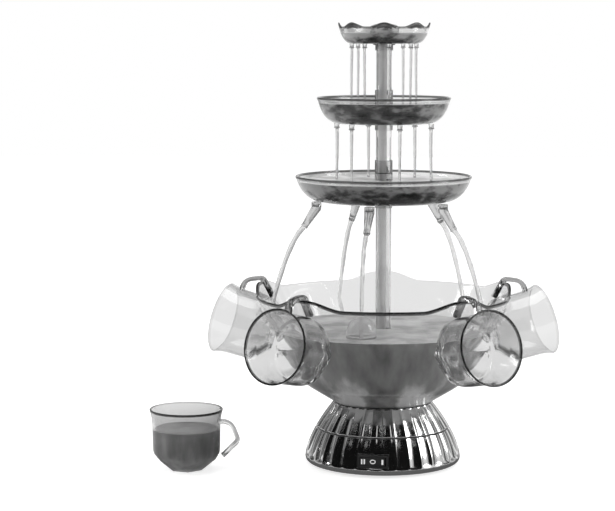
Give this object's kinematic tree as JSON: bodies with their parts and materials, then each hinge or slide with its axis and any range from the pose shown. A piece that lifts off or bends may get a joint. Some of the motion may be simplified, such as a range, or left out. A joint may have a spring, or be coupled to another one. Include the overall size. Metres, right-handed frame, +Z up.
{
  "type": "drinks fountain",
  "caption": "Table-top drinks fountain: fluted pump base, clear bowl with raised rim ears, tower of tiered dishes with swivel nozzles, and cups hooked over the bowl's rim.",
  "frame": {"origin": "on the table, under the middle of the base and the tower", "axes": "+Z up along the tower, front with the switch towards -Y, +X to the right seen from the front"},
  "size_m": [0.495, 0.3571, 0.533],
  "materials": {
    "chrome_shell": "bright plated plastic",
    "clear_plastic": "clear moulded acrylic",
    "black_plastic": "moulded black",
    "rubber": "soft dark rubber",
    "steel": "plain",
    "circuit_board": "lacquered board",
    "lamp_lens": "milky lens"
  },
  "bodies": {
    "fountain": {"base_lower_shell": "chrome_shell", "base_upper_shell": "chrome_shell", "deck": "black_plastic", "bottom_plate": "black_plastic", "rubber_feet": "rubber", "bottom_screws": "steel", "switch_housing": "black_plastic", "cord_gland": "rubber", "motor": "steel", "motor_screws": "steel", "lamp_board": "circuit_board", "lamps": "lamp_lens", "bowl_gasket": "rubber", "bowl_screws": "steel", "bowl": "clear_plastic", "shaft_seal": "rubber", "pump_cover": "clear_plastic", "lower_tube": "clear_plastic", "middle_tube": "clear_plastic", "upper_tube": "clear_plastic", "tube_seals": "rubber", "lower_tier": "clear_plastic", "middle_tier": "clear_plastic", "top_tier": "clear_plastic", "pump_outlet": "clear_plastic", "lower_collar": "clear_plastic", "middle_collar": "clear_plastic", "top_collar": "clear_plastic"},
    "pump_rotor": {"motor_shaft": "steel", "impeller": "black_plastic"},
    "rocker": {"switch_rocker": "black_plastic"},
    "nozzle_1": {"nozzle_1": "clear_plastic"},
    "nozzle_2": {"nozzle_2": "clear_plastic"},
    "nozzle_3": {"nozzle_3": "clear_plastic"},
    "nozzle_4": {"nozzle_4": "clear_plastic"},
    "nozzle_5": {"nozzle_5": "clear_plastic"},
    "cup_front_left": {"cup_front_left": "clear_plastic"},
    "cup_front_right": {"cup_front_right": "clear_plastic"},
    "cup_left": {"cup_left": "clear_plastic"},
    "cup_right": {"cup_right": "clear_plastic"},
    "cup_standing": {"cup_standing": "clear_plastic"}
  },
  "joints": [
    {"name": "pump_spin", "type": "hinge", "parent": "fountain", "child": "pump_rotor", "pos_m": [0, 0, 0.07], "axis": [0, 0, 1], "continuous": true},
    {"name": "rocker_tilt", "type": "hinge", "parent": "fountain", "child": "rocker", "pos_m": [-0.01079, -0.0879, 0.02], "axis": [0, 0, 1], "range_deg": [-9, 9]},
    {"name": "nozzle_1_swivel", "type": "hinge", "parent": "fountain", "child": "nozzle_1", "pos_m": [-0.01643, -0.07932, 0.316], "axis": [0, 0, 1], "continuous": true},
    {"name": "nozzle_2_swivel", "type": "hinge", "parent": "fountain", "child": "nozzle_2", "pos_m": [0.07036, -0.04013, 0.316], "axis": [0, 0, 1], "continuous": true},
    {"name": "nozzle_3_swivel", "type": "hinge", "parent": "fountain", "child": "nozzle_3", "pos_m": [0.05991, 0.05451, 0.316], "axis": [0, 0, 1], "continuous": true},
    {"name": "nozzle_4_swivel", "type": "hinge", "parent": "fountain", "child": "nozzle_4", "pos_m": [-0.03333, 0.07382, 0.316], "axis": [0, 0, 1], "continuous": true},
    {"name": "nozzle_5_swivel", "type": "hinge", "parent": "fountain", "child": "nozzle_5", "pos_m": [-0.08051, -0.00889, 0.316], "axis": [0, 0, 1], "continuous": true},
    {"name": "cup_front_left_lift", "type": "slide", "parent": "fountain", "child": "cup_front_left", "axis": [-0.2939, -0.4045, 0.866], "range_m": [0, 0.09]},
    {"name": "cup_front_right_lift", "type": "slide", "parent": "fountain", "child": "cup_front_right", "axis": [0.2939, -0.4045, 0.866], "range_m": [0, 0.09]},
    {"name": "cup_left_lift", "type": "slide", "parent": "fountain", "child": "cup_left", "axis": [-0.4755, 0.1545, 0.866], "range_m": [0, 0.09]},
    {"name": "cup_right_lift", "type": "slide", "parent": "fountain", "child": "cup_right", "axis": [0.4755, 0.1545, 0.866], "range_m": [0, 0.09]},
    {"name": "cup_standing_lift", "type": "slide", "parent": "fountain", "child": "cup_standing", "axis": [0, 0, 1], "range_m": [0, 0.1]}
  ]
}
